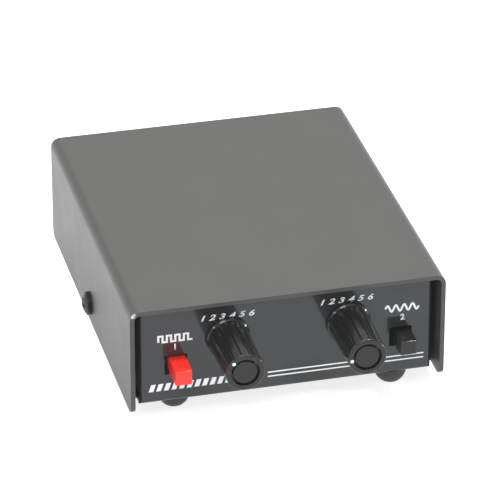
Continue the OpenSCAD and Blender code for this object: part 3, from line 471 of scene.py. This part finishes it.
flute_count = 15
flute_pitch = 2 * math.pi / flute_count
flute_width = 0.75 * MM
flute_depth = 0.42 * MM
flute_fade = 0.45 * MM
flute_setback = 0.8 * MM
skirt_length = 1.25 * MM
skirt_rim = 0.58 * MM
skirt_slope = 0.5 * MM
knob_taper = 0.36 * MM
rim_length = 0.7 * MM
front_edge = 0.45 * MM
groove_radius = 4.85 * MM
groove_depth = 2.3 * MM
nut_recess_radius = 5.9 * MM
nut_recess_depth = 4.6 * MM
shaft_bore_radius = 3.06 * MM
cap_radius = 4.1 * MM
cap_edge = 0.2 * MM
cap_dish = 0.05 * MM
dot_radius = 0.62 * MM
dot_distance = 5.35 * MM
dot_height = 0.05 * MM
dot_sink = 0.05 * MM
taper_start = 0.5 * MM
skirt_step = 0.06 * MM
recess_edge = 0.15 * MM
skirt_back_edge = 0.12 * MM
skirt_front_edge = 0.1 * MM
skirt_foot_edge = 0.05 * MM
groove_edge = 0.12 * MM
cap_back_edge = 0.08 * MM
knob_mean_radius = 7 * MM

# How far each knob's mark is turned at rest, in degrees clockwise from the top
mark_turns = {"rate": -46, "duty": -100}


def flute_angles():
    """Angles packed closely across each flute and loosely across each land"""
    half = 0.5 * flute_width / knob_mean_radius
    across = [flute_pitch * 0.5 + half * k / 6 for k in range(-7, 8)]
    land = [flute_pitch * k / 14 for k in (0, 1, 2, 3, 4, 10, 11, 12, 13)]
    inside = sorted(across + land)
    return [k * flute_pitch + a for k in range(flute_count) for a in inside]


def knob(node, turn):
    """A fluted knob with a skirt, a recess for its cap and a hollow back"""
    cx, cz = axis_of(node)
    lo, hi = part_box(node)
    gap = panel_y - hi.y
    reach = panel_y - lo.y - dot_height
    skirt = (hi.x - lo.x) / 2
    base = skirt - skirt_rim
    front = base - knob_taper
    shaft_end = panel_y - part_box(node.replace("knob", "shaft"))[0].y
    skirt_top = gap + skirt_length
    flute_from = skirt_top + flute_setback
    flute_to = reach - rim_length

    def shift(angle, radius, out):
        """How much nearer to the axis the surface lies in a flute"""
        if not (flute_from - 1e-6 <= out <= flute_to + 1e-6 and radius > front - 0.1 * MM):
            return 0
        off = ((angle - turn) / flute_pitch) % 1 - 0.5
        across = abs(off * flute_pitch * radius) / (flute_width / 2)
        if across >= 1.1:
            return 0
        dip = 0.5 + 0.5 * math.cos(math.pi * min(1, across))
        ahead, behind = (out - flute_from) / (3 * flute_fade), (flute_to - out) / flute_fade
        end = min(1, max(0, ahead), max(0, behind))
        return -flute_depth * dip * math.sqrt(max(0, end * (2 - end)))

    stops = [flute_from + 3 * flute_fade * k / 8 for k in range(9)]
    stops += [flute_from + (flute_to - flute_from) * k / 8 for k in range(3, 8)]
    stops += [flute_to - flute_fade * (1 - k / 5) for k in range(6)]
    stops.insert(0, skirt_top + taper_start)
    side = [(base - knob_taper * (out - skirt_top) / (reach - skirt_top), out) for out in stops]
    corners = [
        (0, shaft_end),
        (shaft_bore_radius, shaft_end),
        (shaft_bore_radius, gap + nut_recess_depth),
        (nut_recess_radius, gap + nut_recess_depth),
        (nut_recess_radius, gap),
        (skirt, gap),
        (skirt, skirt_top - skirt_slope),
        (base + skirt_step, skirt_top),
    ]
    first_side = len(corners)
    corners += side
    corners += [
        (front, reach),
        (groove_radius, reach),
        (groove_radius, reach - groove_depth),
        (0, reach - groove_depth),
    ]
    last_side = first_side + len(side)
    edges = {4: recess_edge, 5: skirt_back_edge, 6: skirt_front_edge, 7: skirt_foot_edge}
    edges |= {last_side: front_edge, last_side + 1: groove_edge}
    profile = rounded(corners, edges)
    angles = [a + turn for a in flute_angles()]
    made = revolve(node + "_fluted", profile, (cx, cz), finish_of["knob_plastic"], angles, shift)
    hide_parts(node)
    return made


def knob_cap(node):
    """A flat inlaid disc with a fine edge and a slightly dished face"""
    cx, cz = axis_of(node)
    face = panel_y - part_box(node)[0].y
    seat = panel_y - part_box(node.removesuffix("_cap"))[0].y - groove_depth
    corners = [
        (0, seat),
        (cap_radius, seat),
        (cap_radius, face),
        (cap_radius * 0.8, face - cap_dish * 0.2),
        (cap_radius * 0.4, face - cap_dish * 0.8),
        (0, face - cap_dish),
    ]
    profile = rounded(corners, {1: cap_back_edge, 2: cap_edge})
    made = revolve(node + "_disc", profile, (cx, cz), finish_of["cap_plastic"], even_angles(96))
    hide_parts(node)
    return made


def dot(name, node, turn):
    """The white index mark on the knob's front rim"""
    cx, cz = axis_of(node)
    reach = panel_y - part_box(node)[0].y - dot_height
    centre = (cx + dot_distance * math.sin(turn), cz + dot_distance * math.cos(turn))
    corners = [
        (0, reach - dot_sink),
        (dot_radius, reach - dot_sink),
        (dot_radius, reach + dot_height * 0.4),
        (dot_radius * 0.8, reach + dot_height * 0.9),
        (0, reach + dot_height),
    ]
    made = revolve(name, corners, centre, white_ink, even_angles(32))
    return made


for side_name, turn_degrees in mark_turns.items():
    mark_turn = math.radians(turn_degrees)
    body = side_name + "_knob"
    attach(knob(body, mark_turn), body)
    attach(knob_cap(body + "_cap"), body)
    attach(dot(side_name + "_mark", body, mark_turn), body)

# ---- Push buttons ----

button_corner = 0.35 * MM
button_front_slope = 0.9 * MM
button_dish = 0.12 * MM
corner_steps = 6


def button(node):
    """A square cap with softened edges, a sloped front border and a dished face"""
    lo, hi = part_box(node)
    cx, cz = axis_of(node)
    half_w, half_h = (hi.x - lo.x) / 2, (hi.z - lo.z) / 2
    # Each section's place in Y, how far its sides are pulled in, and its corners' radius
    sections = [
        (hi.y, 0, button_corner),
        (hi.y - 2 * MM, 0, button_corner),
        (lo.y + button_front_slope * 3, 0, button_corner),
        (lo.y + button_front_slope, 0.02 * MM, button_corner),
        (lo.y + button_front_slope * 0.62, 0.06 * MM, button_corner),
        (lo.y + button_front_slope * 0.32, 0.14 * MM, button_corner),
        (lo.y + button_front_slope * 0.10, 0.27 * MM, button_corner * 1.05),
        (lo.y, 0.48 * MM, button_corner * 1.1),
        (lo.y + button_dish * 0.2, 0.9 * MM, button_corner * 1.2),
        (lo.y + button_dish * 0.6, 1.5 * MM, button_corner * 1.4),
        (lo.y + button_dish, 2.2 * MM, 0.2 * MM),
    ]
    points, rings = [], []
    for y, inset, corner in sections:
        ring = []
        for sx, sz, start in ((1, 1, 0), (1, -1, 90), (-1, -1, 180), (-1, 1, 270)):
            mx = cx + sx * (half_w - inset - corner)
            mz = cz + sz * (half_h - inset - corner)
            for k in range(corner_steps + 1):
                a = math.radians(start + 90 * k / corner_steps)
                ring.append(len(points))
                points.append((mx + corner * math.sin(a), y, mz + corner * math.cos(a)))
        rings.append(ring)
    faces = [tuple(rings[0]), tuple(reversed(rings[-1]))]
    count = len(rings[0])
    for low, high in zip(rings, rings[1:]):
        for k in range(count):
            j = (k + 1) % count
            faces.append((low[k], low[j], high[j], high[k]))
    made = piece_from(node + "_cap", points, faces, finish_of[slot_of[node]], 40)
    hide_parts(node)
    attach(made, node)


button("pulse_button")
button("carrier_button")

# ---- Switch springs ----

spring_wire_radius = 0.2 * MM
spring_turns = 6
steps_per_turn = 32
wire_sides = 10


def spring(node):
    """A round-wire coil from a switch's rear wall to its plunger"""
    lo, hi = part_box(node)
    cx, cz = axis_of(node)
    mean_radius = (hi.x - lo.x) / 2 - spring_wire_radius
    back, front = hi.y - spring_wire_radius, lo.y + spring_wire_radius
    rings, sides = steps_per_turn * spring_turns, wire_sides
    around = 2 * math.pi * spring_turns * mean_radius
    points, faces = [], []
    for i in range(rings + 1):
        turn = 2 * math.pi * spring_turns * i / rings
        radial = Vector((math.cos(turn), 0, math.sin(turn)))
        ahead = Vector((-math.sin(turn) * around, front - back, math.cos(turn) * around)).normalized()
        aside = radial.cross(ahead)
        centre = Vector((cx, back + (front - back) * i / rings, cz)) + radial * mean_radius
        for k in range(sides):
            a = 2 * math.pi * k / sides
            points.append(centre + (radial * math.cos(a) + aside * math.sin(a)) * spring_wire_radius)
    for i in range(rings):
        for k in range(sides):
            j = (k + 1) % sides
            faces.append((i * sides + k, i * sides + j, (i + 1) * sides + j, (i + 1) * sides + k))
    faces += [tuple(range(sides)), tuple(rings * sides + k for k in range(sides - 1, -1, -1))]
    made = piece_from(node + "_coil", points, faces, finish_of[slot_of[node]], 50)
    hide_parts(node)
    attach(made, "case")
    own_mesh(made)


spring("pulse_spring")
spring("carrier_spring")

# ---- Printed marks on the front panel ----

ink_depth = 0.03 * MM
ink_bold = 0.03
numbers_height = 2.1 * MM
numbers_width = 18.4 * MM
numbers_slant = 0.3
button_number_height = 2.2 * MM
sign_width = 11.6 * MM
sign_height = 2.3 * MM
sign_stroke = 0.7 * MM
sign_periods = 4
hatch_from, hatch_to = -47.5 * MM, -13.5 * MM
hatch_foot, hatch_top = 33.1 * MM, 30.4 * MM
hatch_bars = 13
hatch_fill = 0.62
hatch_lean = 0.35
rule_from, rule_to = -6.5 * MM, 48 * MM
rule_height = 0.5 * MM
rule_foot = {"lower_rule": 33.0 * MM, "upper_rule": 31.4 * MM}

# How far each mark lies right of its control's own axis, and below the top of the cover
mark_offset = {
    "rate_numbers": (0.1 * MM, 8.3 * MM),
    "duty_numbers": (-0.4 * MM, 7.8 * MM),
    "pulse_sign": (-0.6 * MM, 13.3 * MM),
    "pulse_number": (-0.7 * MM, 17.7 * MM),
    "carrier_sign": (-0.1 * MM, 12.5 * MM),
    "carrier_number": (0.1 * MM, 17.2 * MM),
}


def mark_place(name, control):
    """A mark's place in X and Z, from its control's axis and the top of the cover"""
    right, below = mark_offset[name]
    return axis_of(control)[0] + right, cover_hi.z - below


def printed(piece):
    """Makes a piece part of the print on the case"""
    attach(piece, "case")


def ink_layers(outline):
    """An [x, z] outline on the ink's outer face and again on its inner one, off the front panel"""
    return [(x, panel_y - ink_depth * depth, z) for depth in (1.5, 0.5) for x, z in outline]


def ink_shapes(name, outlines):
    """One printed piece with a flat shape for each closed [x, z] outline"""
    points, faces = [], []
    for outline in outlines:
        count = len(outline)
        outer = [len(points) + k for k in range(count)]
        inner = [k + count for k in outer]
        points += ink_layers(outline)
        faces += [tuple(outer), tuple(reversed(inner))]
        for k in range(count):
            j = (k + 1) % count
            faces.append((outer[k], outer[j], inner[j], inner[k]))
    printed(piece_from(name, points, faces, white_ink))


def words(name, text, centre_x, base_z, height, width=None, slant=0.0):
    """Flat screen-printed words on the front panel"""
    curve = bpy.data.curves.new(name, "FONT")
    curve.body = text
    curve.size = 1.0
    curve.align_x = "CENTER"
    curve.shear = slant
    curve.offset = ink_bold
    curve.space_character = 1.06
    maker = bpy.data.objects.new(name, curve)
    bpy.context.scene.collection.objects.link(maker)
    bpy.context.view_layer.update()
    data = bpy.data.meshes.new_from_object(maker)
    bpy.data.objects.remove(maker)
    xs = [v.co.x for v in data.vertices]
    tall = max(v.co.y for v in data.vertices)
    mid = (max(xs) + min(xs)) / 2
    gain = height / tall
    spread = gain if width is None else width / (max(xs) - min(xs))
    for v in data.vertices:
        v.co = Vector((centre_x + (v.co.x - mid) * spread, panel_y - ink_depth, base_z + v.co.y * gain))
    piece = bpy.data.objects.new(name, data)
    bpy.context.scene.collection.objects.link(piece)
    data.materials.clear()
    data.materials.append(white_ink)
    thick = piece.modifiers.new("ink", "SOLIDIFY")
    thick.thickness = ink_depth
    thick.offset = 0
    printed(piece)


def stripe(name, x_from, x_to, z_from, z_to):
    """A plain printed bar with rounded ends on the front panel"""
    radius = (z_to - z_from) / 2
    middle = (z_from + z_to) / 2
    outline = []
    for end_x, start in ((x_to - radius, 90), (x_from + radius, 270)):
        for k in range(9):
            a = math.radians(start - 180 * k / 8)
            outline.append((end_x + radius * math.cos(a), middle + radius * math.sin(a)))
    ink_shapes(name, [outline])


def hatch(name, x_from, x_to, z_from, z_to, count):
    """A printed band of plain slanted bars on the front panel"""
    pitch = (x_to - x_from) / count
    wide = pitch * hatch_fill
    lean = (z_to - z_from) * hatch_lean
    starts = [x_from + pitch * k for k in range(count)]
    ink_shapes(name, [[(x, z_from), (x + wide, z_from), (x + wide + lean, z_to), (x + lean, z_to)]
                      for x in starts])


def square_wave(periods):
    """A square wave in a unit box, from left to right"""
    path = []
    for k in range(periods):
        left, middle, right = k / periods, (k + 0.5) / periods, (k + 1) / periods
        path += [(left, 0), (left, 1), (middle, 1), (middle, 0), (right, 0)]
    return path


def sine_wave(periods, steps=12):
    """A sine wave in a unit box, from left to right"""
    count = periods * steps
    return [(k / count, 0.5 + 0.5 * math.sin(2 * math.pi * k / steps)) for k in range(count + 1)]


def trace(name, path, centre_x, centre_z):
    """A printed sign: a line of even width along a path given in a unit box"""
    line = []
    for x, z in path:
        here = Vector((centre_x + (x - 0.5) * sign_width, centre_z + (z - 0.5) * sign_height))
        if not line or (here - line[-1]).length > same_place:
            line.append(here)
    outline = []
    for i, here in enumerate(line):
        into = (here - line[i - 1]) if i else line[1] - here
        out = (line[i + 1] - here) if i + 1 < len(line) else into
        bisector = (into.normalized() + out.normalized()).normalized()
        mitre = max(0.5, bisector.dot(into.normalized()))
        aside = Vector((-bisector.y, bisector.x)) * sign_stroke / 2 / mitre
        outline += [here - aside, here + aside]
    back = len(outline)
    faces = []
    for k in range(0, back - 2, 2):
        faces.append((k, k + 2, k + 3, k + 1))
        faces.append((back + k, back + k + 1, back + k + 3, back + k + 2))
        faces.append((k, back + k, back + k + 2, k + 2))
        faces.append((k + 1, k + 3, back + k + 3, back + k + 1))
    faces += [(0, 1, back + 1, back), (back - 2, 2 * back - 2, 2 * back - 1, back - 1)]
    printed(piece_from(name, ink_layers(outline), faces, white_ink))


for marks, knob_name in (("rate_numbers", "rate_knob"), ("duty_numbers", "duty_knob")):
    words(marks, "1 2 3 4 5 6", *mark_place(marks, knob_name), numbers_height, numbers_width, numbers_slant)
trace("pulse_sign", square_wave(sign_periods), *mark_place("pulse_sign", "pulse_button"))
words("pulse_number", "1", *mark_place("pulse_number", "pulse_button"), button_number_height)
trace("carrier_sign", sine_wave(sign_periods), *mark_place("carrier_sign", "carrier_button"))
words("carrier_number", "2", *mark_place("carrier_number", "carrier_button"), button_number_height)
hatch("left_hatch", hatch_from, hatch_to, cover_hi.z - hatch_foot, cover_hi.z - hatch_top, hatch_bars)
for rule, foot in rule_foot.items():
    stripe(rule, rule_from, rule_to, cover_hi.z - foot, cover_hi.z - foot + rule_height)

# ---- CAD nodes that keep their own shape ----

cover_edge = 0.14 * MM
chassis_edge = 0.16 * MM
small_edge = 0.08 * MM
small_metal = ("cover_screws", "board_screws", "bracket_screws", "phono_jack_shell", "phone_jack_nut",
               "power_jack_nut", "phono_jack_nut", "phone_jack_body", "power_jack_body")

for node in frame["nodes"]:
    finish_cad(node)
soften("top_cover", cover_edge, 3)
soften("chassis", chassis_edge)
for node in small_metal:
    soften(node, small_edge)

# ---- Stage ----

sky_front = 0.3
sky_back = 0.57
sky_low = 0.5
sky_top = 0.9
floor_glow_front = 0.78
floor_glow_back = 1.15
floor_grey = 0.35
floor_half = 6.0


def floor_paper():
    """Dull white paper that glows, and more so towards the rear"""
    made = bpy.data.materials.new("floor_paper")
    made.use_nodes = True
    tree = made.node_tree
    shader = tree.nodes["Principled BSDF"]
    shader.inputs["Base Color"].default_value = (floor_grey, floor_grey, floor_grey, 1)
    shader.inputs["Roughness"].default_value = 0.9
    shader.inputs["Specular IOR Level"].default_value = 0.0
    shader.inputs["Emission Color"].default_value = (1.0, 1.0, 1.0, 1)
    place = tree.nodes.new("ShaderNodeTexCoord").outputs["Object"]
    across = tree.nodes.new("ShaderNodeSeparateXYZ")
    tree.links.new(place, across.inputs[0])
    glow = ramp(tree, across.outputs["Y"], panel_y, rear_y, floor_glow_front, floor_glow_back)
    tree.links.new(glow, shader.inputs["Emission Strength"])
    return made


floor_corners = [(-floor_half, -floor_half, 0), (floor_half, -floor_half, 0),
                 (floor_half, floor_half, 0), (-floor_half, floor_half, 0)]
floor = piece_from("floor", floor_corners, [(0, 1, 2, 3)], floor_paper())

world = bpy.data.worlds.new("studio")
bpy.context.scene.world = world
world.use_nodes = True
sky_tree = world.node_tree
sky = sky_tree.nodes["Background"]
way = sky_tree.nodes.new("ShaderNodeSeparateXYZ")
sky_tree.links.new(sky_tree.nodes.new("ShaderNodeTexCoord").outputs["Generated"], way.inputs[0])
from_front = ramp(sky_tree, way.outputs["Y"], -0.95, 0.1, sky_front, sky_back)
from_above = ramp(sky_tree, way.outputs["Z"], 0.6, 0.95, 0.0, sky_top)
near_horizon = ramp(sky_tree, way.outputs["Z"], 0.4, 0.54, sky_low, 0.0)
sky.inputs["Color"].default_value = (1.0, 1.0, 1.0, 1)
brightness = calc(sky_tree, "ADD", calc(sky_tree, "ADD", from_front, from_above), near_horizon)
sky_tree.links.new(brightness, sky.inputs["Strength"])


def softbox(name, direction, distance, width, height, radiance):
    """A rectangular lamp that faces the case and looks radiance times as bright as white paper"""
    lamp = bpy.data.lights.new(name, "AREA")
    lamp.shape = "RECTANGLE"
    lamp.size = width
    lamp.size_y = height
    lamp.energy = radiance * math.pi * width * height
    made = bpy.data.objects.new(name, lamp)
    toward = Vector(direction).normalized()
    made.location = case_centre + toward * distance
    made.rotation_mode = "QUATERNION"
    made.rotation_quaternion = toward.to_track_quat("Z", "Y")
    bpy.context.scene.collection.objects.link(made)


# Each lamp's direction from the case, distance, width, height and brightness
softbox("overhead", (0.34, -0.1, 0.93), 1.6, 0.2, 0.2, 150)
softbox("right_low", (0.98, -0.15, 0.06), 1.6, 0.25, 0.25, 60)
softbox("left_front", (-0.73, -0.49, 0.46), 1.8, 0.9, 0.2, 9)
softbox("front_top", (-0.22, -0.52, 0.82), 1.8, 1.1, 0.3, 9)
softbox("back_top", (0.1, 0.6, 0.79), 1.6, 0.9, 0.5, 3)

# ---- Camera ----

camera_azimuth = math.radians(-14.206)
camera_elevation = math.radians(28.921)
camera_roll = math.radians(0.096)
camera_distance = 1.3302
camera_aim_right = 2.87 * MM
camera_aim_drop = 18.42 * MM
camera_aim = Vector((camera_aim_right, case_centre.y, cover_hi.z - camera_aim_drop))
camera_lens = 275.13
camera_sensor = 36.0

camera_data = bpy.data.cameras.new("camera")
camera_data.lens = camera_lens
camera_data.sensor_width = camera_sensor
camera = bpy.data.objects.new("camera", camera_data)
backward = Vector((
    math.sin(camera_azimuth) * math.cos(camera_elevation),
    -math.cos(camera_azimuth) * math.cos(camera_elevation),
    math.sin(camera_elevation),
))
camera.location = camera_aim + backward * camera_distance
facing_turn = (-backward).to_track_quat("-Z", "Y").to_matrix().to_4x4()
camera.rotation_mode = "QUATERNION"
camera.rotation_quaternion = (facing_turn @ Matrix.Rotation(camera_roll, 4, "Z")).to_quaternion()
camera_data.clip_start = 0.05
camera_data.clip_end = 50
bpy.context.scene.collection.objects.link(camera)
bpy.context.scene.camera = camera
bpy.context.scene.view_settings.view_transform = "Standard"
